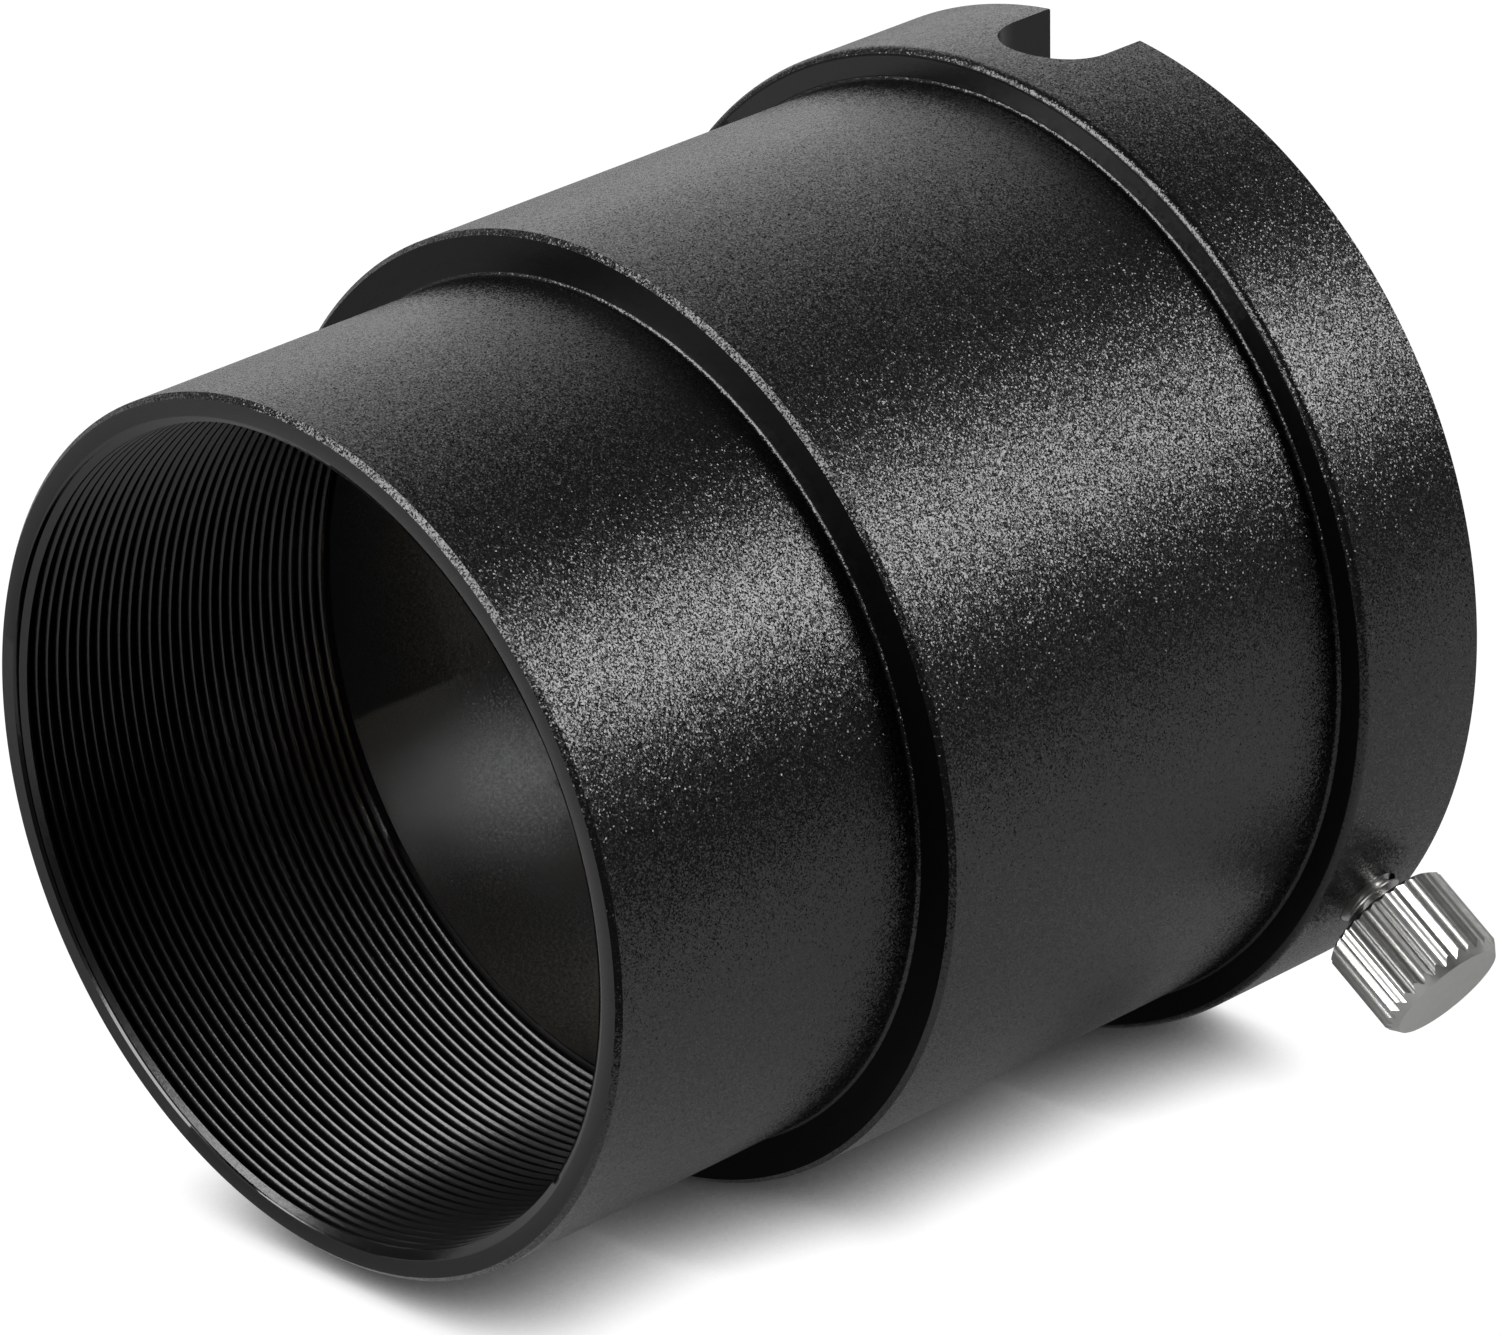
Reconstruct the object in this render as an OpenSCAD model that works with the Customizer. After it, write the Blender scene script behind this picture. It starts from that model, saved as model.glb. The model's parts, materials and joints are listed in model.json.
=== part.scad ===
// Barlow lens for a 2 inch focuser.
// A nosepiece slides into the focuser, a short body tube carries a negative two-element lens,
// and a collar with a compression ring and two thumbscrews clamps the eyepiece.
// Frame: the optical axis is X, with the eyepiece side at +X, and the collar's notch faces +Z.
// Origin: on the optical axis in the plane of the seating shoulder behind the nosepiece.

/* [Nosepiece] */
// Outside diameter of the nosepiece, the 2 inch focuser size
nose_d = 50.8; // [50.6:0.1:50.8]
// Length of the nosepiece from its front rim to the seating shoulder
nose_len = 22; // [20:0.5:30]
// Chamfer on the outer edge of the front rim
nose_chamfer = 0.3; // [0.1:0.1:0.5]
// Fillet where a tube meets the shoulder behind it
root_fillet = 0.25; // [0.1:0.05:0.3]
// Length of the nosepiece's spigot inside the body tube
spigot_len = 16; // [12:0.5:17]

/* [Filter thread] */
// Nominal diameter of the filter thread
filter_d = 48; // [48:0.1:48.2]
// Pitch of the filter thread
filter_pitch = 0.75; // [0.6:0.05:0.8]
// Depth of the threaded stretch from the front rim
filter_len = 23; // [6:1:23]

/* [Body tube] */
// Outside diameter of the body tube
body_d = 56; // [55.5:0.5:57]
// Length of the body tube between the two shoulders
body_len = 30.5; // [30.5:0.5:36]
// Chamfer on the body tube's front edge
body_chamfer = 0.3; // [0.1:0.1:0.6]

/* [Eyepiece collar] */
// Outside diameter of the collar
collar_d = 59.8; // [59.4:0.2:62]
// Length of the collar
collar_len = 9.5; // [9.5:0.25:11]
// Chamfer on the collar's front edge
collar_chamfer = 0.5; // [0.2:0.1:1.2]
// Bore that takes the eyepiece barrel
socket_d = 50.9; // [50.85:0.05:51]
// Depth of the eyepiece socket from the rear face to its stop
socket_depth = 14; // [12:0.5:14]
// Width of the notch in the collar's rear edge
notch_w = 7.2; // [5:0.2:8]
// Depth of the notch along the axis, to the bottom of its round end
notch_depth = 6.45; // [4:0.05:6.45]

/* [Compression ring] */
// Thickness of the split ring
ring_t = 1.2; // [1:0.05:1.25]
// Width of the split ring along the axis
ring_w = 4.7; // [4:0.1:4.8]
// Gap in the ring, centred on the notch
ring_gap = 8.4; // [8.2:0.2:12]

/* [Thumbscrews] */
// Angle round the axis from the notch to each thumbscrew, in degrees
screw_angle = 122; // [100:0.5:130]
// Distance of the thumbscrew axes from the collar's rear face
screw_inset = 3.85; // [3.8:0.05:4.2]
// Thread diameter over the crests
screw_d = 3.9; // [3.8:0.05:3.9]
// Pitch of the thumbscrew thread
screw_pitch = 0.7; // [0.6:0.05:0.75]
// Diameter of the knurled head over its ridges
head_d = 8; // [7:0.5:8]
// Length of the head
head_len = 5.9; // [4:0.1:8]
// Ridges around the head
knurl_count = 30; // [20:1:36]
// Gap between the collar and the underside of the head, as set
head_gap = 1.4; // [1.2:0.05:1.6]

/* [Lens] */
// Diameter of both lens elements
lens_d = 39.8; // [38:0.2:39.8]
// Radius of the front element's front surface
front_r1 = 180; // [160:5:400]
// Radius of the two facing surfaces
inner_r = 150; // [140:5:300]
// Radius of the rear element's rear surface
rear_r2 = 400; // [300:10:800]
// Thickness of the front element at its centre
front_centre = 1.6; // [1:0.1:1.6]
// Thickness of the rear element at its centre
rear_centre = 2.8; // [2.2:0.1:2.8]

/* [Hidden] */

$fn = 180;
slip = 0.05;            // radial clearance of a screwed or sliding fit
edge_break = 0.1;       // break on otherwise sharp outer edges
over = 1;               // how far a cutter runs past the face it opens

// Outer radii
nose_r = nose_d / 2;
body_r = body_d / 2;
collar_r = collar_d / 2;
socket_r = socket_d / 2;

// Filter thread, 60 degree form
filter_major_r = filter_d / 2;
filter_minor_r = filter_major_r - 0.5413 * filter_pitch;
filter_lead = filter_major_r + 0.13 - filter_minor_r;
filter_first = filter_lead + filter_pitch / 2;
filter_grooves = floor((filter_len - filter_first) / filter_pitch) + 1;

// Nosepiece joint
spigot_r = nose_r - 0.4;
flange_r = nose_r + 1;
flange_len = 1.5;

// Places along the axis
body_end = body_len;
rear_x = body_len + collar_len;
socket_x = rear_x - socket_depth;
screw_x = rear_x - screw_inset;
body_joint_x = body_end - root_fillet;
ring_front_x = screw_x - ring_w / 2 - 0.05;
ring_back_x = ring_front_x + ring_w;
groove_back_x = ring_back_x + 0.2;
body_tail_x = ring_front_x - 0.2;

// Collar joint and ring groove
tail_r = socket_r + 1.55;
groove_r = tail_r + slip;
ring_outer_r = groove_r - 0.1;
mouth_chamfer = 0.5;

// Lens cell, held between the nosepiece's spigot and the body's ledge
cushion_t = 1;
cushion_r = 0.48 * cushion_t;
cell_x = spigot_len + cushion_t;
cell_flange_t = 2;
cell_flange_r = spigot_r - slip;
ledge_x = cell_x + cell_flange_t;
lens_r = lens_d / 2;
cell_bore_r = lens_r + 0.1;
cell_outer_r = cell_bore_r + 1.95;
cell_end_x = socket_x - 0.6;
cell_lip_t = 0.5;
lip_x = cell_end_x - cell_lip_t;
aperture_r = lens_r - 1.1;

// Depth of a spherical surface of radius r at height h above the axis
function sag(r, h = lens_r) = r - sqrt(r * r - h * h);

// Lens stack, counted forwards from the cell's rear lip
surface_steps = 16;
spacer_t = 0.3;
seat_gap = 0.01;         // clearance between the spacer and the glass on each side
rear_lens_front_x = lip_x - (rear_centre - sag(inner_r) + sag(rear_r2));
front_lens_back_x = rear_lens_front_x - spacer_t;
front_lens_front_x = front_lens_back_x - (front_centre + sag(front_r1) + sag(inner_r));
retainer_t = 1.4;
slot_w = 1.2;
slot_depth = 0.7;

// Thumbscrew, measured outwards from the optical axis
screw_r = screw_d / 2;
screw_hole_r = screw_r + slip;
screw_root_r = screw_r - 0.6134 * screw_pitch;
head_r = head_d / 2;
knurl_depth = 0.28;
inner_face_r = head_r - 0.38;
inner_chamfer_slope = 0.75;
outer_face_r = head_r - 0.5;
outer_chamfer_slope = 1.4;
head_in = collar_r + head_gap;
head_out = head_in + head_len;
neck_len = 0.35;
neck_r = screw_root_r + 0.1;
pad_travel = screw_pitch;
pad_in = ring_outer_r + pad_travel;
pad_t = 0.4;
pad_r = 1.5;
stem_r = 0.7;
stem_len = 1.35;
shank_in = pad_in + pad_t + 0.02;
shank_out = head_in - neck_len;
screw_grooves = floor((shank_out - shank_in) / screw_pitch);

// A solid of revolution about the optical axis, from [radius, x] points
module turned(points) {
    rotate([0, 90, 0]) rotate_extrude() polygon(points);
}

// Puts a part on a thumbscrew's axis: its +Z points outwards from the optical axis
module on_screw_axis(side) {
    rotate([side * screw_angle, 0, 0]) translate([screw_x, 0, 0]) children();
}

// Points of a concave root fillet, from the tube at radius r out to the face at x
function fillet_points(r, x) = [
    for (a = [0 : 15 : 90])
        [r + root_fillet * (1 - cos(a)), x - root_fillet * (1 - sin(a))]
];

// One V groove of an inside thread, centred at x
function inner_groove(x) = [
    [filter_minor_r, x - filter_pitch * 0.375],
    [filter_major_r, x - filter_pitch * 0.0625],
    [filter_major_r, x + filter_pitch * 0.0625],
    [filter_minor_r, x + filter_pitch * 0.375]
];

// One V groove of an outside thread, centred at height z
function outer_groove(z) = [
    [screw_r, z - screw_pitch * 0.4375],
    [screw_root_r, z - screw_pitch * 0.0875],
    [screw_root_r, z + screw_pitch * 0.0875],
    [screw_r, z + screw_pitch * 0.4375]
];

// Front tube: 2 inch outside, filter thread and then a smooth bore inside, spigot and flange behind
// the shoulder
module nosepiece() {
    thread = [
        for (i = [0 : filter_grooves - 1])
            each inner_groove(filter_first + i * filter_pitch - nose_len)
    ];
    color("#303030") turned(concat(
        [
            [filter_minor_r + filter_lead, -nose_len],
            [nose_r - nose_chamfer, -nose_len],
            [nose_r, nose_chamfer - nose_len]
        ],
        fillet_points(nose_r, 0),
        [
            [flange_r, 0],
            [flange_r, flange_len],
            [spigot_r, flange_len],
            [spigot_r, spigot_len],
            [filter_minor_r, spigot_len],
            [filter_minor_r, filter_len - nose_len]
        ],
        [for (i = [len(thread) - 1 : -1 : 0]) thread[i]],
        [[filter_minor_r, filter_lead - nose_len]]
    ));
}

// Middle tube: counterbored for the nosepiece, ledge for the cell, eyepiece socket behind
module body_tube() {
    color("#2b2b2b") turned([
        [flange_r + slip, 0],
        [body_r - body_chamfer, 0],
        [body_r, body_chamfer],
        [body_r, body_joint_x],
        [tail_r, body_joint_x],
        [tail_r, body_tail_x],
        [socket_r, body_tail_x],
        [socket_r, socket_x],
        [cell_outer_r + slip, socket_x],
        [cell_outer_r + slip, ledge_x],
        [spigot_r + slip, ledge_x],
        [spigot_r + slip, flange_len + slip],
        [flange_r + slip, flange_len + slip]
    ]);
}

// Rear collar: ring groove, eyepiece mouth, notch at the top and a hole for each thumbscrew
module eyepiece_collar() {
    color("#2b2b2b") difference() {
        turned(concat(
            [[groove_r, body_joint_x]],
            fillet_points(body_r, body_end),
            [
                [collar_r - collar_chamfer, body_end],
                [collar_r, body_end + collar_chamfer],
                [collar_r, rear_x - edge_break],
                [collar_r - edge_break, rear_x],
                [socket_r + mouth_chamfer, rear_x],
                [socket_r, rear_x - mouth_chamfer],
                [socket_r, groove_back_x],
                [groove_r, groove_back_x]
            ]
        ));
        notch_cutter();
        for (side = [-1, 1])
            on_screw_axis(side) translate([0, 0, socket_r]) cylinder(r = screw_hole_r, h = collar_r);
    }
}

// Round-ended slot, open towards the rear
module notch_cutter() {
    end_x = rear_x - notch_depth + notch_w / 2;
    translate([end_x, 0, socket_r - over]) cylinder(r = notch_w / 2, h = collar_r);
    translate([end_x, -notch_w / 2, socket_r - over]) cube([notch_depth, notch_w, collar_r]);
}

// Split brass ring that the thumbscrews press on to the eyepiece barrel
module compression_ring() {
    ring_inner_r = ring_outer_r - ring_t;
    color("#b08d4a") difference() {
        turned([
            [ring_inner_r + edge_break, ring_front_x],
            [ring_outer_r, ring_front_x],
            [ring_outer_r, ring_back_x],
            [ring_inner_r + edge_break, ring_back_x],
            [ring_inner_r, ring_back_x - edge_break],
            [ring_inner_r, ring_front_x + edge_break]
        ]);
        translate([ring_front_x - over, -ring_gap / 2, 0]) cube([ring_w + 2 * over, ring_gap, collar_r]);
    }
}

// Knurled thumbscrew: threaded shank with a blind hole for the pad's stem, neck and head
module thumbscrew(side) {
    color("#c8c8c6") on_screw_axis(side) {
        difference() {
            screw_shank();
            cylinder(r = stem_r + slip, h = shank_in + stem_len);
        }
        intersection() {
            head_blank();
            translate([0, 0, head_in - over]) linear_extrude(head_len + 2 * over) knurl_outline();
        }
    }
}

// Threaded shank and plain neck, up to the head
module screw_shank() {
    thread = [
        for (i = [0 : screw_grooves - 1])
            each outer_groove(shank_out - (i + 0.5) * screw_pitch)
    ];
    rotate_extrude() polygon(concat(
        [[0, shank_in], [screw_r - 2 * edge_break, shank_in], [screw_r, shank_in + 2 * edge_break]],
        [for (i = [screw_grooves - 1 : -1 : 0]) for (k = [0 : 3]) thread[4 * i + k]],
        [[screw_r, shank_out], [neck_r, shank_out], [neck_r, head_in + over], [0, head_in + over]]
    ));
}

// Turned shape of the head before knurling: its two chamfers cut the ends of the ridges
module head_blank() {
    clear_r = head_r + knurl_depth;
    rotate_extrude() polygon([
        [0, head_in],
        [inner_face_r, head_in],
        [clear_r, head_in + inner_chamfer_slope * (clear_r - inner_face_r)],
        [clear_r, head_out - outer_chamfer_slope * (clear_r - outer_face_r)],
        [outer_face_r, head_out],
        [0, head_out]
    ]);
}

// Outline with straight V ridges
module knurl_outline() {
    step = 180 / knurl_count;
    polygon([
        for (i = [0 : 2 * knurl_count - 1])
            let (r = i % 2 == 0 ? head_r : head_r - knurl_depth)
            [r * cos(i * step), r * sin(i * step)]
    ]);
}

// Nylon pad on the screw's end: it slides with the screw and doesn't turn
module screw_pad(side) {
    color("#e8e4d8") on_screw_axis(side) {
        translate([0, 0, pad_in]) cylinder(r = pad_r, h = pad_t);
        translate([0, 0, pad_in]) cylinder(r = stem_r, h = pad_t + stem_len);
    }
}

// Holder for both elements: flange against the body's ledge, lip behind the rear element
module lens_cell() {
    color("#222222") turned([
        [cell_bore_r, cell_x],
        [cell_flange_r, cell_x],
        [cell_flange_r, ledge_x],
        [cell_outer_r, ledge_x],
        [cell_outer_r, cell_end_x],
        [aperture_r, cell_end_x],
        [aperture_r, lip_x],
        [cell_bore_r, lip_x]
    ]);
}

// Points of a spherical surface from the axis to its edge at edge_x. Its middle lies behind the
// edge where middle is 1, and in front of it where middle is -1.
function glass_surface(r, edge_x, middle) = [
    for (i = [0 : surface_steps])
        let (h = lens_r * i / surface_steps)
        [h, edge_x + middle * (sag(r) - sag(r, h))]
];

// Closed outline of an element between its front and back surfaces
function element_outline(front, back) = concat(
    front,
    [for (i = [surface_steps : -1 : 0]) back[i]]
);

// Negative element, hollow on both sides
module front_lens() {
    color("#9fb8c8") turned(element_outline(
        glass_surface(front_r1, front_lens_front_x, 1),
        glass_surface(inner_r, front_lens_back_x, -1)
    ));
}

// Meniscus element, full towards the front and hollow towards the rear
module rear_lens() {
    color("#9fb8c8") turned(element_outline(
        glass_surface(inner_r, rear_lens_front_x, -1),
        glass_surface(rear_r2, lip_x, -1)
    ));
}

// Thin ring that sets the gap between the elements. Both faces lean forwards with the glass.
module lens_spacer() {
    lean = sag(inner_r) - sag(inner_r, aperture_r);
    front_x = front_lens_back_x + seat_gap;
    back_x = rear_lens_front_x - seat_gap;
    color("#1c1c1c") turned([
        [aperture_r, front_x - lean],
        [lens_r, front_x],
        [lens_r, back_x],
        [aperture_r, back_x - lean]
    ]);
}

// Screwed ring that holds the elements in the cell, with two spanner slots
module lens_retainer() {
    front_x = front_lens_front_x - retainer_t;
    color("#222222") difference() {
        turned([
            [aperture_r, front_x],
            [cell_bore_r - slip, front_x],
            [cell_bore_r - slip, front_lens_front_x],
            [aperture_r, front_lens_front_x]
        ]);
        translate([front_x - over, -slot_w / 2, -cell_bore_r])
            cube([over + slot_depth, slot_w, 2 * cell_bore_r]);
    }
}

// Rubber ring squeezed between the spigot's end and the cell's flange
module cell_cushion_ring() {
    color("#151515") translate([spigot_len + cushion_t / 2, 0, 0])
        rotate([0, 90, 0]) rotate_extrude() translate([spigot_r - 0.7, 0]) circle(r = cushion_r, $fn = 48);
}

nosepiece();
body_tube();
eyepiece_collar();
compression_ring();
thumbscrew(1);  // left_thumbscrew
thumbscrew(-1);  // right_thumbscrew
screw_pad(1);  // left_screw_pad
screw_pad(-1);  // right_screw_pad
lens_cell();
front_lens();
rear_lens();
lens_spacer();
lens_retainer();
cell_cushion_ring();
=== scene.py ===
"""A short 2 inch Barlow lens in black anodised aluminium, on a pale floor in soft studio light."""

import json
import math

import bmesh
import bpy
from mathutils import Matrix, Quaternion, Vector


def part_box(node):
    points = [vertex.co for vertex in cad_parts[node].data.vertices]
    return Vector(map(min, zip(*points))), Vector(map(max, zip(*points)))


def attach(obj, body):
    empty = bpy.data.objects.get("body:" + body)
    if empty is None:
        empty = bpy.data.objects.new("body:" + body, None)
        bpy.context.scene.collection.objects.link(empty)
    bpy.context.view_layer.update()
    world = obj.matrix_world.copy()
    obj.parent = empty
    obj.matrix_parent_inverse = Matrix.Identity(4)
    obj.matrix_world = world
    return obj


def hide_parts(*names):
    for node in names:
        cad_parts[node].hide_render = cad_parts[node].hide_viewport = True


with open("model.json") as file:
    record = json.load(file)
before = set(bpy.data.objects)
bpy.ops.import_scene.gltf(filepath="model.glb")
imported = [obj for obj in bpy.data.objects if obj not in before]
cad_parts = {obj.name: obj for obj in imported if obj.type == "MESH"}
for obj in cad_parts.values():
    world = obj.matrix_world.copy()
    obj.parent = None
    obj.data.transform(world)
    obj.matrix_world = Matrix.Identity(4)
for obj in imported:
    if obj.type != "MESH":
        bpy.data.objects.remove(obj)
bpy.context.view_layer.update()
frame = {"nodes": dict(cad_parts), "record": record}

MM = 0.001
TAU = 2 * math.pi

# Camera: where it stands round the object, and the point on its line of sight nearest the axis
CAMERA_AZIMUTH = -43.37
CAMERA_ELEVATION = 25.95
CAMERA_ROLL = 1.15
CAMERA_DISTANCE = 458.64 * MM
CAMERA_AIM = Vector((11.28, -0.61, -0.91)) * MM
CAMERA_LENS = 194.8
SENSOR_WIDTH = 36
NEAREST_SEEN = 0.05
FARTHEST_SEEN = 20

# Places that come from the frame
NOSE_LOW, NOSE_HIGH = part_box("nosepiece")
BODY_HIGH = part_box("body_tube")[1]
COLLAR_LOW, COLLAR_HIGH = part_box("eyepiece_collar")
RING_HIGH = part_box("compression_ring")[1]
CELL_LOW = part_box("lens_cell")[0]
FRONT_X = NOSE_LOW.x
SPIGOT_X = NOSE_HIGH.x
REAR_X = COLLAR_HIGH.x
BODY_R = BODY_HIGH.y
COLLAR_R = -COLLAR_LOW.z
MOUNTS = {m["name"]: m for m in frame["record"]["mounts"]}
JOINTS = {j["name"]: j for j in frame["record"]["behaviour"]["joints"]}
NOSE_R = MOUNTS["nosepiece"]["dims"]["r_mm"] * MM
THREAD_CREST_R = MOUNTS["filter_thread"]["dims"]["r_mm"] * MM
SOCKET_R = MOUNTS["eyepiece_socket"]["dims"]["r_mm"] * MM

# Nosepiece, body tube and collar
ROOT_FILLET = 0.25 * MM
RIM_CHAMFER = 0.3 * MM
COLLAR_CHAMFER = 0.5 * MM
SHOULDER_X = 0.0
BODY_END_X = COLLAR_LOW.x + ROOT_FILLET
FLANGE_R = NOSE_R + 1 * MM
FLANGE_T = 1.5 * MM
SPIGOT_R = NOSE_R - 0.4 * MM
SLIP = 0.05 * MM
SEAM = 0.004 * MM               # the joint in the shoulder face, too fine to see
LEDGE_X = CELL_LOW.x + 2 * MM
CELL_BARREL_R = 21.95 * MM
SOCKET_X = REAR_X - 14 * MM
TAIL_R = SOCKET_R + 1.55 * MM
GROOVE_R = TAIL_R + SLIP
GROOVE_BACK_X = RING_HIGH.x + 0.2 * MM
MOUTH_CHAMFER = 0.5 * MM
REAR_EDGE_BREAK = 0.1 * MM
NOTCH_W = 7.2 * MM
NOTCH_DEPTH = 6.45 * MM
NOTCH_STEPS = 40               # steps round the notch's round end
NOTCH_WALL_R = 0.8 * SOCKET_R  # the notch's walls all stand higher than this
CUT_PAST = 1 * MM              # how far a cutter runs past the face it opens

# Filter thread
FILTER_PITCH = 0.75 * MM
FILTER_MAJOR_R = 24 * MM
FILTER_LEAD_R = 24.13 * MM
LEAD_SLOPE = 2.0
FILTER_END_X = FRONT_X + 23 * MM
FILTER_FLATS = (0.25, 0.125)   # widths of the crest and the root, in pitches
FILTER_OFFSET = 0.1            # where the groove starts round the rim, in turns
RUN_OUT = FILTER_PITCH

# Thumbscrews
SCREW_PITCH = 0.7 * MM
SCREW_R = 1.95 * MM
SCREW_ROOT_R = SCREW_R - 0.6134 * SCREW_PITCH
NECK_R = SCREW_ROOT_R + 0.1 * MM
NECK_LEN = 0.35 * MM
HEAD_R = 4.0 * MM
HEAD_IN_FACE_R = 3.62 * MM
HEAD_OUT_FACE_R = 3.5 * MM
HEAD_LEN = 5.9 * MM
HEAD_GAP = 1.4 * MM
HEAD_IN_SLOPE = 0.75
HEAD_OUT_SLOPE = 1.4
KNURLS = 30
KNURL_DEPTH = 0.28 * MM
KNURL_FLAT = 0.25              # share of a ridge that is flat, half on its crest, half in its valley
SHANK_IN = 28.07 * MM
STEM_HOLE_R = 0.75 * MM
STEM_HOLE_DEPTH = 1.35 * MM
TIP_CHAMFER = 0.3 * MM
NECK_SLOPE = 1.2               # how steeply the thread narrows into the neck
NECK_FILLET = 0.15 * MM
THREAD_FADE = 0.4 * SCREW_PITCH
SCREW_HOLE_R = SCREW_R + SLIP
SCREW_HOLE_STEPS = 64
SCREW_FLATS = (0.125, 0.175)
KNURL_STEPS = 8                # columns of points for each ridge
HEAD_STEPS = KNURLS * KNURL_STEPS

# Light: brightness of the backdrop and of the rest of the room, and each softbox's power in watts
BACKDROP_LEVEL = 1.1
BACKDROP_ENDS = 0.4            # cosine of the angle from its middle at which the backdrop fades out
BACKDROP_FULL = 0.95           # and at which it reaches its full brightness
ROOM_LEVEL = 0.06
RIGHT_POWER = 2.1
FRONT_POWER = 7.6
SOFTBOX_DISTANCE = 0.6         # from the part, in metres
FLOOR_TURN = -2.35             # degrees the notch leans off the top as the part lies
FLOOR_GLOW = 0.2               # light that comes through the studio paper from below
CONTACT_REACH = 8 * MM         # how far round the part the painted contact shadow on the paper reaches
CONTACT_OPENNESS = (0.05, 0.75)    # openness at which the painted contact shadow is darkest and at which the paper is fully white
PAPER_SEEN = (0.02, 1.05)      # how bright the camera sees it at those two
CONTACT_SAMPLES = 24
FLOOR_REFLECTED = 0.42
FLOOR_NEAR = 0.065             # how far the paper reaches towards the camera, in metres
FLOOR_FAR = 3.0                # and how far it reaches the other ways

ROUND = 288                    # steps round the optical axis
SMOOTH_ANGLE = math.radians(32)
WELD_DISTANCE = 1e-7           # points closer than this, in metres, are one point
SQUARE_ON = 0.99               # how squarely a face is turned along X to count as an end face


# ---------------------------------------------------------------- mesh tools

def arc(centre, radius, start, end, steps=6):
    """Points of an arc in (x, r), from start to end degrees; 0 points to +x and 90 outwards."""
    angles = [math.radians(start + (end - start) * i / steps) for i in range(steps + 1)]
    return [(centre[0] + radius * math.cos(a), centre[1] + radius * math.sin(a)) for a in angles]


def root_fillet(x, r):
    """Concave fillet from the tube at radius r up to the shoulder face at x."""
    return arc((x - ROOT_FILLET, r + ROOT_FILLET), ROOT_FILLET, -90, 0)


def make_piece(name, mesh, body, replaced, material):
    """Puts a finished bmesh into the scene as a piece on a CAD body."""
    bmesh.ops.remove_doubles(mesh, verts=mesh.verts, dist=WELD_DISTANCE)
    bmesh.ops.recalc_face_normals(mesh, faces=mesh.faces)
    data = bpy.data.meshes.new(name)
    mesh.to_mesh(data)
    mesh.free()
    piece = bpy.data.objects.new(name, data)
    bpy.context.scene.collection.objects.link(piece)
    shade(piece, material)
    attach(piece, body)
    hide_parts(*replaced)
    return piece


def shade(piece, material):
    """Gives a piece one material, and smooth shading between faces that nearly line up."""
    piece.data.materials.clear()
    piece.data.materials.append(material)
    for face in piece.data.polygons:
        face.use_smooth = True
    piece.data.set_sharp_from_angle(angle=SMOOTH_ANGLE)


def finish_faces(piece, material, chosen):
    """Gives the faces that chosen(centre, normal) picks a finish of their own."""
    piece.data.materials.append(material)
    index = len(piece.data.materials) - 1
    for face in piece.data.polygons:
        if chosen(face.center, face.normal):
            face.material_index = index


def across_axis(centre, normal):
    """True for the flat faces turned across the end of a tube."""
    return abs(normal.x) > SQUARE_ON


def on_shoulder(centre, normal):
    """True for the faces of the two steps behind the front rim."""
    return normal.x < -SQUARE_ON and centre.x > FRONT_X + MM


def add_columns(mesh, columns, wrap_shift=0):
    """Skins closed point columns placed round an axis. With a shift, the last column joins the
    first one wrap_shift points further on, as a helix does."""
    rings = [[mesh.verts.new(p) for p in column] for column in columns]
    last = len(rings[0]) - 1
    for j, ring in enumerate(rings):
        wraps = j == len(rings) - 1
        following = rings[0] if wraps else rings[j + 1]
        shift = wrap_shift if wraps else 0
        for k in range(last):
            across_here = following[min(k + shift, last)]
            across_next = following[min(k + 1 + shift, last)]
            corners = [ring[k], ring[k + 1], across_next, across_here]
            unique = list(dict.fromkeys(corners))
            if len(unique) > 2:
                mesh.faces.new(unique)
    return rings


def on_axis(x, r, angle):
    """Point at radius r round the optical axis; angle 0 is +Z and it grows towards -Y."""
    return Vector((x, -r * math.sin(angle), r * math.cos(angle)))


def turned_mesh(outline, steps=ROUND):
    """A ring of revolution about the optical axis from a closed (x, r) outline."""
    mesh = bmesh.new()
    closed = outline + outline[:1]
    columns = [[on_axis(x, r, TAU * j / steps) for x, r in closed] for j in range(steps)]
    add_columns(mesh, columns)
    return mesh


def groove_depth(phase, depth, flat_crest, flat_root):
    """Depth of a V thread at a phase of 0 to 1 turns of pitch: 0 on the crest, depth at the root."""
    from_root = abs((phase % 1.0) - 0.5)
    slope_run = 0.5 - flat_crest / 2 - flat_root / 2
    share = (from_root - flat_root / 2) / slope_run
    return depth * (1 - min(max(share, 0.0), 1.0))


def helix_columns(start, end, pitch, marks, steps, offset, radius_at):
    """Columns of (place, radius) whose points follow a right-hand helix, clamped to [start, end].
    Each turn of the helix has one row of points for each phase in marks."""
    turns = math.ceil((end - start) / pitch) + 2
    columns = []
    for j in range(steps):
        column = []
        for turn in range(turns):
            for mark in marks:
                place = start + pitch * (turn + mark + offset - 2 + j / steps)
                place = min(max(place, start), end)
                phase = (place - start) / pitch - j / steps - offset
                column.append((place, radius_at(place, phase)))
        columns.append(column)
    return columns


# ---------------------------------------------------------------- materials

def new_tree(name):
    """A material with an empty node tree and its output node."""
    material = bpy.data.materials.new(name)
    material.use_nodes = True
    tree = material.node_tree
    tree.nodes.clear()
    return material, tree, tree.nodes.new("ShaderNodeOutputMaterial")


def add_node(tree, kind, inputs=None, **settings):
    """Adds a node, with its settings, and its inputs as values or as sockets to link."""
    node = tree.nodes.new(kind)
    for key, value in settings.items():
        setattr(node, key, value)
    for key, value in (inputs or {}).items():
        if isinstance(value, bpy.types.NodeSocket):
            tree.links.new(value, node.inputs[key])
        else:
            node.inputs[key].default_value = value
    return node


def place_of(tree):
    """Position on the object in metres, which rides with the piece."""
    return add_node(tree, "ShaderNodeTexCoord").outputs["Object"]


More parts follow.
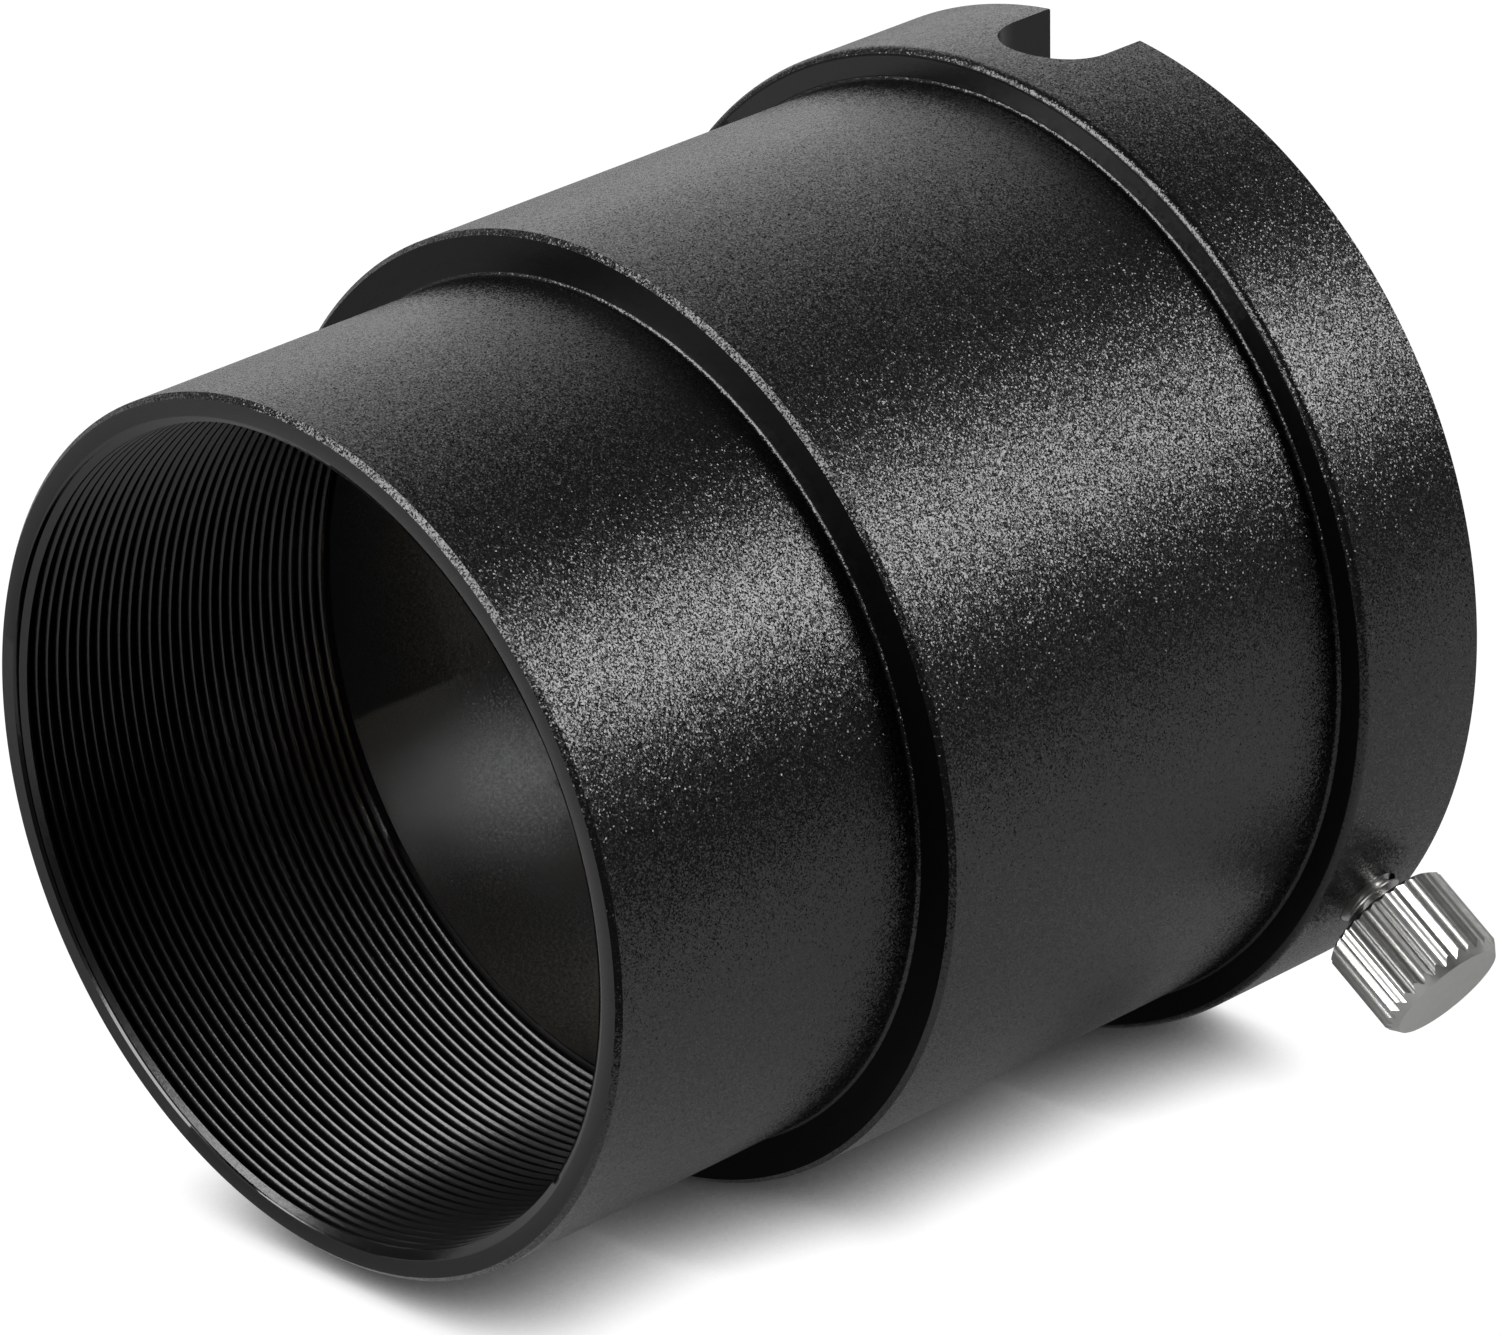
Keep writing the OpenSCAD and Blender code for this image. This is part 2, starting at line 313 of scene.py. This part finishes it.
def noise(tree, size, detail=2.0, roughness=0.5):
    """Noise of 0 to 1 whose features are about size metres across."""
    made = add_node(tree, "ShaderNodeTexNoise", {
        "Vector": place_of(tree),
        "Scale": 1 / size,
        "Detail": detail,
        "Roughness": roughness,
    })
    return made.outputs["Fac"]


def spread(tree, value, low, high):
    """Maps 0 to 1 onto low to high."""
    made = add_node(tree, "ShaderNodeMapRange", {"Value": value, "To Min": low, "To Max": high})
    return made.outputs["Result"]


def mixed_colour(tree, share, first, second):
    """Blends two colours by share."""
    made = add_node(tree, "ShaderNodeMix", {"Factor": share, "A": first, "B": second}, data_type="RGBA")
    return made.outputs["Result"]


def faceted_normal(tree, grain, tilt):
    """Normal of a blasted surface: each grain-sized dimple leans its own way, most of them little
    and a few of them a lot."""
    cells = add_node(tree, "ShaderNodeTexVoronoi", {"Vector": place_of(tree), "Scale": 1 / grain})

    def vector_math(operation, inputs):
        return add_node(tree, "ShaderNodeVectorMath", inputs, operation=operation)

    centred = vector_math("SUBTRACT", {0: cells.outputs["Color"], 1: (0.5, 0.5, 0.5)})
    size = vector_math("LENGTH", {0: centred.outputs["Vector"]})
    amount = add_node(tree, "ShaderNodeMath", {0: size.outputs["Value"], 1: 2 * tilt},
                      operation="MULTIPLY")
    leaning = vector_math("SCALE", {0: centred.outputs["Vector"], "Scale": amount.outputs["Value"]})
    normal = add_node(tree, "ShaderNodeNewGeometry").outputs["Normal"]
    added = vector_math("ADD", {0: normal, 1: leaning.outputs["Vector"]})
    return vector_math("NORMALIZE", {0: added.outputs["Vector"]}).outputs["Vector"]


def anodised(name, grain, tilt, roughness, gloss):
    """Black anodised aluminium over a blasted or a turned surface."""
    material, tree, output = new_tree(name)
    surface = add_node(tree, "ShaderNodeBsdfPrincipled", {
        "Base Color": mixed_colour(tree, noise(tree, grain * 1.5, 3.0, 0.7), grey(0.0005), grey(0.0015)),
        "Roughness": spread(tree, noise(tree, grain * 2.5, 2.0), roughness - 0.05, roughness + 0.05),
        "IOR": 1.5,
        "Specular IOR Level": gloss,
        "Normal": faceted_normal(tree, grain, tilt),
    })
    tree.links.new(surface.outputs["BSDF"], output.inputs["Surface"])
    return material


def turned_metal(name, base, worn, roughness, ridge):
    """Bare turned metal, with fine tool marks and slight colour change."""
    material, tree, output = new_tree(name)
    marks = noise(tree, ridge, 3.0, 0.6)
    bump = add_node(tree, "ShaderNodeBump", {"Height": marks, "Strength": 0.12, "Distance": ridge * 0.2})
    surface = add_node(tree, "ShaderNodeBsdfPrincipled", {
        "Base Color": mixed_colour(tree, noise(tree, 0.9 * MM), base, worn),
        "Metallic": 1.0,
        "Roughness": spread(tree, noise(tree, 0.3 * MM), roughness - 0.05, roughness + 0.08),
        "Normal": bump.outputs["Normal"],
    })
    tree.links.new(surface.outputs["BSDF"], output.inputs["Surface"])
    return material


def soft_polymer(name, base, darker, roughness, texture):
    """Matt nylon or rubber with a faint moulded texture."""
    material, tree, output = new_tree(name)
    bump = add_node(tree, "ShaderNodeBump",
                    {"Height": noise(tree, texture, 3.0), "Strength": 0.3, "Distance": texture * 0.2})
    surface = add_node(tree, "ShaderNodeBsdfPrincipled", {
        "Base Color": mixed_colour(tree, noise(tree, 0.6 * MM), base, darker),
        "Roughness": spread(tree, noise(tree, texture * 3), roughness - 0.05, roughness + 0.05),
        "Normal": bump.outputs["Normal"],
    })
    tree.links.new(surface.outputs["BSDF"], output.inputs["Surface"])
    return material


def coated_glass(name):
    """Clear optical glass with a thin antireflection coating that tints its reflections."""
    material, tree, output = new_tree(name)
    surface = add_node(tree, "ShaderNodeBsdfPrincipled", {
        "Base Color": mixed_colour(tree, noise(tree, 6 * MM), (0.96, 0.97, 0.97, 1), (0.98, 0.98, 0.98, 1)),
        "Roughness": 0.0,
        "IOR": 1.52,
        "Transmission Weight": 1.0,
        "Thin Film Thickness": spread(tree, noise(tree, 20 * MM), 115.0, 135.0),
        "Thin Film IOR": 1.38,
    })
    tree.links.new(surface.outputs["BSDF"], output.inputs["Surface"])
    return material


def pale_floor_material():
    """Studio paper: a pale grey in reflections, and to the camera white with soft contact shadows painted
    in from ambient occlusion.
    """
    material, tree, output = new_tree("studio_paper")
    mottle = noise(tree, 2 * MM, 3.0)
    shade_of_paper = mixed_colour(tree, mottle, grey(FLOOR_REFLECTED), grey(FLOOR_REFLECTED * 1.04))
    paper = add_node(tree, "ShaderNodeBsdfDiffuse", {"Color": shade_of_paper})
    glow = add_node(tree, "ShaderNodeEmission", {"Color": shade_of_paper, "Strength": FLOOR_GLOW})
    reflected = add_node(tree, "ShaderNodeAddShader",
                         {0: paper.outputs["BSDF"], 1: glow.outputs["Emission"]})
    # Painted shadow: to the camera the paper darkens with its ambient occlusion near the part, not with
    # light from the softboxes.
    openness = add_node(tree, "ShaderNodeAmbientOcclusion", {"Distance": CONTACT_REACH},
                        samples=CONTACT_SAMPLES)
    white = add_node(tree, "ShaderNodeMapRange", {
        "Value": openness.outputs["AO"],
        "From Min": CONTACT_OPENNESS[0],
        "From Max": CONTACT_OPENNESS[1],
        "To Min": PAPER_SEEN[0],
        "To Max": PAPER_SEEN[1],
    }, interpolation_type="SMOOTHSTEP")
    painted_shadow_paper = add_node(tree, "ShaderNodeEmission",
                       {"Color": grey(1.0), "Strength": white.outputs["Result"]})
    seen = add_node(tree, "ShaderNodeLightPath").outputs["Is Camera Ray"]
    surface = add_node(tree, "ShaderNodeMixShader",
                       {0: seen, 1: reflected.outputs["Shader"], 2: painted_shadow_paper.outputs["Emission"]})
    tree.links.new(surface.outputs["Shader"], output.inputs["Surface"])
    return material


def grey(level):
    """A neutral colour."""
    return (level, level, level, 1)


BLASTED = anodised("blasted_black", 0.08 * MM, 0.34, 0.26, 0.5)
# Finer, smoother grain of the bored inside is its own finish; its gloss, twice the others', is a painted
# sheen that brightens the highlight seen in the bore.
BORED_WITH_PAINTED_SHEEN = anodised("bored_black_painted_sheen", 0.06 * MM, 0.18, 0.32, 1.0)
THREADED = anodised("threaded_black", 0.05 * MM, 0.03, 0.18, 0.5)
MACHINED = anodised("faced_black", 0.05 * MM, 0.04, 0.22, 0.3)
# The faced finish with far less gloss, so the steps' faces read darker than the rim: painted shade in place
# of the dark reflection of the nose tube in them.
SHOULDER_PAINTED_SHADE = anodised("shoulder_black_painted_shade", 0.05 * MM, 0.04, 0.3, 0.12)
NICKEL = turned_metal("bright_nickel", (0.5, 0.5, 0.49, 1), (0.58, 0.58, 0.56, 1), 0.3, 0.05 * MM)
BRASS = turned_metal("satin_brass", (0.62, 0.43, 0.17, 1), (0.74, 0.56, 0.28, 1), 0.3, 0.06 * MM)
NYLON = soft_polymer("white_nylon", (0.82, 0.8, 0.73, 1), (0.88, 0.86, 0.8, 1), 0.5, 0.05 * MM)
RUBBER = soft_polymer("black_rubber", (0.012, 0.012, 0.012, 1), (0.03, 0.03, 0.03, 1), 0.65, 0.08 * MM)
GLASS = coated_glass("coated_glass")


# ---------------------------------------------------------------- barrel

def thread_corners(flats):
    """Phases of a thread's corners: crest middle, both flank ends and root middle."""
    flat_crest, flat_root = flats
    return (0.0, flat_crest / 2, 0.5 - flat_root / 2, 0.5, 0.5 + flat_root / 2, 1 - flat_crest / 2)


def filter_thread_radius(x, phase):
    """Radius of the inside thread, with a lead-in at the rim and a run-out at its end."""
    fade = min(1.0, (FILTER_END_X - x) / RUN_OUT)
    groove = groove_depth(phase, FILTER_MAJOR_R - THREAD_CREST_R, *FILTER_FLATS)
    lead_in = FILTER_LEAD_R - (x - FRONT_X) * LEAD_SLOPE
    return max(THREAD_CREST_R + groove * fade, lead_in)


def in_bore(centre, normal):
    """True for a place on the nosepiece's inside."""
    return math.hypot(centre.y, centre.z) < FILTER_LEAD_R


def in_thread(centre, normal):
    """True for a place on the nosepiece's inside thread or its lead-in."""
    return in_bore(centre, normal) and centre.x < FILTER_END_X


def add_nosepiece():
    """Front tube with its inside thread as a true helix."""
    mesh = bmesh.new()
    places = helix_columns(FRONT_X, FILTER_END_X, FILTER_PITCH, thread_corners(FILTER_FLATS), ROUND,
                           FILTER_OFFSET, filter_thread_radius)
    columns = [[on_axis(x, r, TAU * j / ROUND) for x, r in column] for j, column in enumerate(places)]
    add_columns(mesh, columns, wrap_shift=len(thread_corners(FILTER_FLATS)))
    outline = [(FRONT_X, FILTER_LEAD_R), (FRONT_X, NOSE_R - RIM_CHAMFER), (FRONT_X + RIM_CHAMFER, NOSE_R)]
    outline += root_fillet(SHOULDER_X, NOSE_R)
    outline += [
        (SHOULDER_X, FLANGE_R),
        (FLANGE_T, FLANGE_R),
        (FLANGE_T, SPIGOT_R),
        (SPIGOT_X, SPIGOT_R),
        (SPIGOT_X, THREAD_CREST_R),
        (FILTER_END_X, THREAD_CREST_R),
    ]
    add_columns(mesh, [[on_axis(x, r, TAU * j / ROUND) for x, r in outline] for j in range(ROUND)])
    nose = make_piece("nosepiece_threaded", mesh, "barrel", ["nosepiece"], BLASTED)
    finish_faces(nose, BORED_WITH_PAINTED_SHEEN, in_bore)
    finish_faces(nose, THREADED, in_thread)
    finish_faces(nose, MACHINED, across_axis)
    finish_faces(nose, SHOULDER_PAINTED_SHADE, on_shoulder)


def add_body_tube():
    """Middle tube, with its front edge chamfered and its inside stepped for the cell and eyepiece."""
    seam_x = BODY_END_X - ROOT_FILLET
    outline = [
        (SHOULDER_X, FLANGE_R + SEAM),
        (SHOULDER_X, BODY_R - RIM_CHAMFER),
        (SHOULDER_X + RIM_CHAMFER, BODY_R),
        (seam_x, BODY_R),
        (seam_x, TAIL_R),
        (BODY_HIGH.x, TAIL_R),
        (BODY_HIGH.x, SOCKET_R),
        (SOCKET_X, SOCKET_R),
        (SOCKET_X, CELL_BARREL_R + SLIP),
        (LEDGE_X, CELL_BARREL_R + SLIP),
        (LEDGE_X, SPIGOT_R + SLIP),
        (FLANGE_T + SLIP, SPIGOT_R + SLIP),
        (FLANGE_T + SLIP, FLANGE_R + SEAM),
    ]
    tube = make_piece("body_tube_turned", turned_mesh(outline), "barrel",
                      ["body_tube"], BLASTED)
    finish_faces(tube, MACHINED, across_axis)
    finish_faces(tube, SHOULDER_PAINTED_SHADE, on_shoulder)


def cutter(name, mesh):
    """A closed shape used once to cut another."""
    bmesh.ops.recalc_face_normals(mesh, faces=mesh.faces)
    data = bpy.data.meshes.new(name)
    mesh.to_mesh(data)
    mesh.free()
    made = bpy.data.objects.new(name, data)
    bpy.context.scene.collection.objects.link(made)
    return made


def prism(outline, direction, near, far):
    """A closed prism from points in a plane, between two distances along direction."""
    mesh = bmesh.new()
    ends = [[mesh.verts.new(p + direction * far_end) for p in outline] for far_end in (near, far)]
    mesh.faces.new(list(reversed(ends[0])))
    mesh.faces.new(ends[1])
    for i in range(len(outline)):
        k = (i + 1) % len(outline)
        mesh.faces.new([ends[0][i], ends[0][k], ends[1][k], ends[1][i]])
    return mesh


def notch_outline():
    """Round-ended slot in the collar's rear edge, as seen from above."""
    half = NOTCH_W / 2
    centre_x = REAR_X - NOTCH_DEPTH + half
    rear = REAR_X + CUT_PAST
    bend = [math.radians(90 + 180 * i / NOTCH_STEPS) for i in range(NOTCH_STEPS + 1)]
    points = [Vector((centre_x + half * math.cos(a), half * math.sin(a), 0)) for a in bend]
    return [Vector((rear, half, 0))] + points + [Vector((rear, -half, 0))]


def screw_frame(side):
    """Origin on the optical axis, outward direction and two directions across a thumbscrew."""
    outward = Vector(JOINTS[side + "_screw_turn"]["axis"]).normalized()
    origin = Vector((JOINTS[side + "_screw_turn"]["pos_m"][0], 0, 0))
    across = Vector((1, 0, 0))
    return origin, outward, across, outward.cross(across)


def screw_hole_outline(side):
    """Circle of a thumbscrew's hole, in the plane through the optical axis."""
    origin, _, across, along = screw_frame(side)
    turns = [TAU * i / SCREW_HOLE_STEPS for i in range(SCREW_HOLE_STEPS)]
    return [origin + (across * math.cos(a) + along * math.sin(a)) * SCREW_HOLE_R for a in turns]


def apply_modifiers(piece):
    """Bakes a piece's modifiers into its mesh."""
    bpy.context.view_layer.update()
    evaluated = piece.evaluated_get(bpy.context.evaluated_depsgraph_get())
    baked = bpy.data.meshes.new_from_object(evaluated)
    piece.modifiers.clear()
    piece.data = baked


def in_notch(centre, normal):
    """True for the notch's upright wall."""
    return centre.z > NOTCH_WALL_R and abs(normal.z) < 0.01


def add_collar():
    """Rear collar with its ring groove, the notch and a hole for each thumbscrew."""
    seam_x = BODY_END_X - ROOT_FILLET
    outline = [(seam_x, GROOVE_R)] + root_fillet(BODY_END_X, BODY_R) + [
        *arc((BODY_END_X + COLLAR_CHAMFER, COLLAR_R - COLLAR_CHAMFER), COLLAR_CHAMFER, 180, 90),
        (REAR_X - REAR_EDGE_BREAK, COLLAR_R),
        (REAR_X, COLLAR_R - REAR_EDGE_BREAK),
        (REAR_X, SOCKET_R + MOUTH_CHAMFER),
        (REAR_X - MOUTH_CHAMFER, SOCKET_R),
        (GROOVE_BACK_X, SOCKET_R),
        (GROOVE_BACK_X, GROOVE_R),
    ]
    collar = make_piece("eyepiece_collar_notched", turned_mesh(outline), "barrel",
                        ["eyepiece_collar"], BLASTED)
    notch = prism(notch_outline(), Vector((0, 0, 1)), SOCKET_R - CUT_PAST, COLLAR_R + CUT_PAST)
    cutters = [cutter("notch_cut", notch)]
    for side in ("left", "right"):
        outward = screw_frame(side)[1]
        shape = prism(screw_hole_outline(side), outward, SOCKET_R, COLLAR_R + CUT_PAST)
        cutters.append(cutter(side + "_hole_cut", shape))
    for shape in cutters:
        cut = collar.modifiers.new(shape.name, "BOOLEAN")
        cut.operation = "DIFFERENCE"
        cut.solver = "EXACT"
        cut.object = shape
    apply_modifiers(collar)
    for shape in cutters:
        bpy.data.objects.remove(shape)
    shade(collar, BLASTED)
    finish_faces(collar, MACHINED, across_axis)
    finish_faces(collar, SHOULDER_PAINTED_SHADE, on_shoulder)
    finish_faces(collar, MACHINED, in_notch)


# ---------------------------------------------------------------- thumbscrews

def knurl_radius(column):
    """Radius of the knurled head at a column: narrow crests with straight flanks to narrow valleys."""
    half = KNURL_STEPS // 2
    from_crest = abs((column % KNURL_STEPS) - half) / half
    share = min(max((from_crest - KNURL_FLAT / 2) / (1 - KNURL_FLAT), 0.0), 1.0)
    return HEAD_R - KNURL_DEPTH * share


def screw_thread_radius(end):
    """Radius of the outside thread, tapered at its tip and at the neck."""
    def radius(place, phase):
        fade = min(1.0, (place - SHANK_IN) / THREAD_FADE, (end - place) / THREAD_FADE)
        groove = groove_depth(phase, SCREW_R - SCREW_ROOT_R, *SCREW_FLATS)
        tip = SCREW_R - TIP_CHAMFER + (place - SHANK_IN)
        neck = NECK_R + (end - place) * NECK_SLOPE
        return min(SCREW_R - groove * max(fade, 0.0), tip, neck)
    return radius


def add_thumbscrew(side):
    """Knurled thumbscrew with a helical thread and a blind hole for its pad's stem."""
    origin, outward, across, along = screw_frame(side)
    head_in = COLLAR_R + HEAD_GAP
    head_out = head_in + HEAD_LEN
    thread_end = head_in - NECK_LEN

    def point(place, r, j):
        turn = TAU * j / HEAD_STEPS
        return origin + outward * place + (across * math.cos(turn) + along * math.sin(turn)) * r

    mesh = bmesh.new()
    places = helix_columns(SHANK_IN, thread_end, SCREW_PITCH, thread_corners(SCREW_FLATS), HEAD_STEPS,
                           0.0, screw_thread_radius(thread_end))
    add_columns(mesh, [[point(p, r, j) for p, r in column] for j, column in enumerate(places)],
                wrap_shift=len(thread_corners(SCREW_FLATS)))
    hole_end = SHANK_IN + STEM_HOLE_DEPTH
    tip = [
        (hole_end, 0.0),
        (hole_end, STEM_HOLE_R),
        (SHANK_IN, STEM_HOLE_R),
        (SHANK_IN, SCREW_R - TIP_CHAMFER),
    ]
    add_columns(mesh, [[point(p, r, j) for p, r in tip] for j in range(HEAD_STEPS)])
    head_columns = []
    for j in range(HEAD_STEPS):
        ridge = knurl_radius(j)
        straight_in = head_in + HEAD_IN_SLOPE * (ridge - HEAD_IN_FACE_R)
        straight_out = head_out - HEAD_OUT_SLOPE * (ridge - HEAD_OUT_FACE_R)
        line = [(thread_end, NECK_R), (head_in - NECK_FILLET, NECK_R), (head_in, NECK_R + NECK_FILLET),
                (head_in, HEAD_IN_FACE_R), (straight_in, ridge), (straight_out, ridge),
                (head_out, HEAD_OUT_FACE_R), (head_out, 0.0)]
        head_columns.append([point(p, r, j) for p, r in line])
    add_columns(mesh, head_columns)
    make_piece(side + "_thumbscrew_knurled", mesh, side + "_screw",
               [side + "_thumbscrew"], NICKEL)


# ---------------------------------------------------------------- carried-over CAD nodes

def dress_cad_nodes():
    """Gives each small CAD node that stays visible its procedural material."""
    looks = {
        "compression_ring": BRASS,
        "left_screw_pad": NYLON,
        "right_screw_pad": NYLON,
        "lens_cell": MACHINED,
        "front_lens": GLASS,
        "rear_lens": GLASS,
        "lens_spacer": MACHINED,
        "lens_retainer": MACHINED,
        "cell_cushion_ring": RUBBER,
    }
    for name, material in looks.items():
        shade(frame["nodes"][name], material)


# ---------------------------------------------------------------- stage

def direction_to(azimuth, elevation):
    """Direction towards a place round the object; azimuth 0 is -Y and 90 is +X, in degrees."""
    a, e = math.radians(azimuth), math.radians(elevation)
    return Vector((math.sin(a) * math.cos(e), -math.cos(a) * math.cos(e), math.sin(e)))


def add_camera():
    """Camera at the viewing angle named at the top."""
    data = bpy.data.cameras.new("camera")
    data.lens = CAMERA_LENS
    data.sensor_width = SENSOR_WIDTH
    data.clip_start = NEAREST_SEEN
    data.clip_end = FARTHEST_SEEN
    camera = bpy.data.objects.new("camera", data)
    bpy.context.scene.collection.objects.link(camera)
    back = direction_to(CAMERA_AZIMUTH, CAMERA_ELEVATION)
    camera.location = CAMERA_AIM + back * CAMERA_DISTANCE
    level = (-back).to_track_quat("-Z", "Y")
    camera.rotation_mode = "QUATERNION"
    camera.rotation_quaternion = Quaternion(back, -math.radians(CAMERA_ROLL)) @ level
    bpy.context.scene.camera = camera


def add_softbox(name, azimuth, elevation, distance, width, height, power):
    """A plain rectangular softbox that faces the object."""
    data = bpy.data.lights.new(name, "AREA")
    data.shape = "RECTANGLE"
    data.size = width
    data.size_y = height
    data.energy = power
    light = bpy.data.objects.new(name, data)
    bpy.context.scene.collection.objects.link(light)
    towards = direction_to(azimuth, elevation)
    light.location = CAMERA_AIM + towards * distance
    light.rotation_mode = "QUATERNION"
    light.rotation_quaternion = towards.to_track_quat("Z", "Y")


def add_floor():
    """Pale floor that the body's front rim and the collar's rim both rest on."""
    front = Vector((SHOULDER_X + RIM_CHAMFER, 0, -BODY_R))
    rear = Vector((BODY_END_X + COLLAR_CHAMFER, 0, -COLLAR_R))
    lean = Matrix.Rotation(math.radians(FLOOR_TURN), 3, "X")
    up = lean @ (rear - front).normalized().cross(Vector((0, 1, 0)))
    centre = lean @ ((front + rear) / 2)
    forward = direction_to(CAMERA_AZIMUTH, 0)
    forward = (forward - up * forward.dot(up)).normalized()
    sideways = up.cross(forward)
    mesh = bmesh.new()
    corners = [mesh.verts.new(centre + forward * reach + sideways * FLOOR_FAR * side)
               for reach, side in ((FLOOR_NEAR, -1), (FLOOR_NEAR, 1), (-FLOOR_FAR, 1), (-FLOOR_FAR, -1))]
    mesh.faces.new(corners)
    data = bpy.data.meshes.new("floor")
    mesh.to_mesh(data)
    mesh.free()
    data.materials.append(pale_floor_material())
    floor = bpy.data.objects.new("floor", data)
    bpy.context.scene.collection.objects.link(floor)


def add_world():
    """White to the camera; to everything else a bright backdrop behind the part in a dim room."""
    world = bpy.data.worlds.new("studio")
    world.use_nodes = True
    tree = world.node_tree
    tree.nodes.clear()
    output = tree.nodes.new("ShaderNodeOutputWorld")
    direction = add_node(tree, "ShaderNodeTexCoord").outputs["Generated"]
    backdrop = direction_to(CAMERA_AZIMUTH + 180, 0)
    nearness = add_node(tree, "ShaderNodeVectorMath", {0: direction, 1: backdrop},
                        operation="DOT_PRODUCT")
    level = add_node(tree, "ShaderNodeMapRange", {
        "Value": nearness.outputs["Value"],
        "From Min": BACKDROP_ENDS,
        "From Max": BACKDROP_FULL,
        "To Min": ROOM_LEVEL,
        "To Max": BACKDROP_LEVEL,
    }, interpolation_type="SMOOTHSTEP")
    seen = add_node(tree, "ShaderNodeBackground", {"Color": grey(1.0), "Strength": 1.0})
    around = add_node(tree, "ShaderNodeBackground",
                      {"Color": grey(1.0), "Strength": level.outputs["Result"]})
    rays = add_node(tree, "ShaderNodeLightPath")
    choice = add_node(tree, "ShaderNodeMixShader",
                      {0: rays.outputs["Is Camera Ray"], 1: around.outputs["Background"],
                       2: seen.outputs["Background"]})
    tree.links.new(choice.outputs["Shader"], output.inputs["Surface"])
    bpy.context.scene.world = world


add_nosepiece()
add_body_tube()
add_collar()
add_thumbscrew("left")
add_thumbscrew("right")
dress_cad_nodes()

add_camera()
add_floor()
add_world()
add_softbox("right_softbox", azimuth=38, elevation=36, distance=SOFTBOX_DISTANCE,
            width=0.16, height=0.24, power=RIGHT_POWER)
add_softbox("front_softbox", azimuth=-103, elevation=31, distance=SOFTBOX_DISTANCE,
            width=0.6, height=0.38, power=FRONT_POWER)
bpy.context.scene.view_settings.view_transform = "Standard"
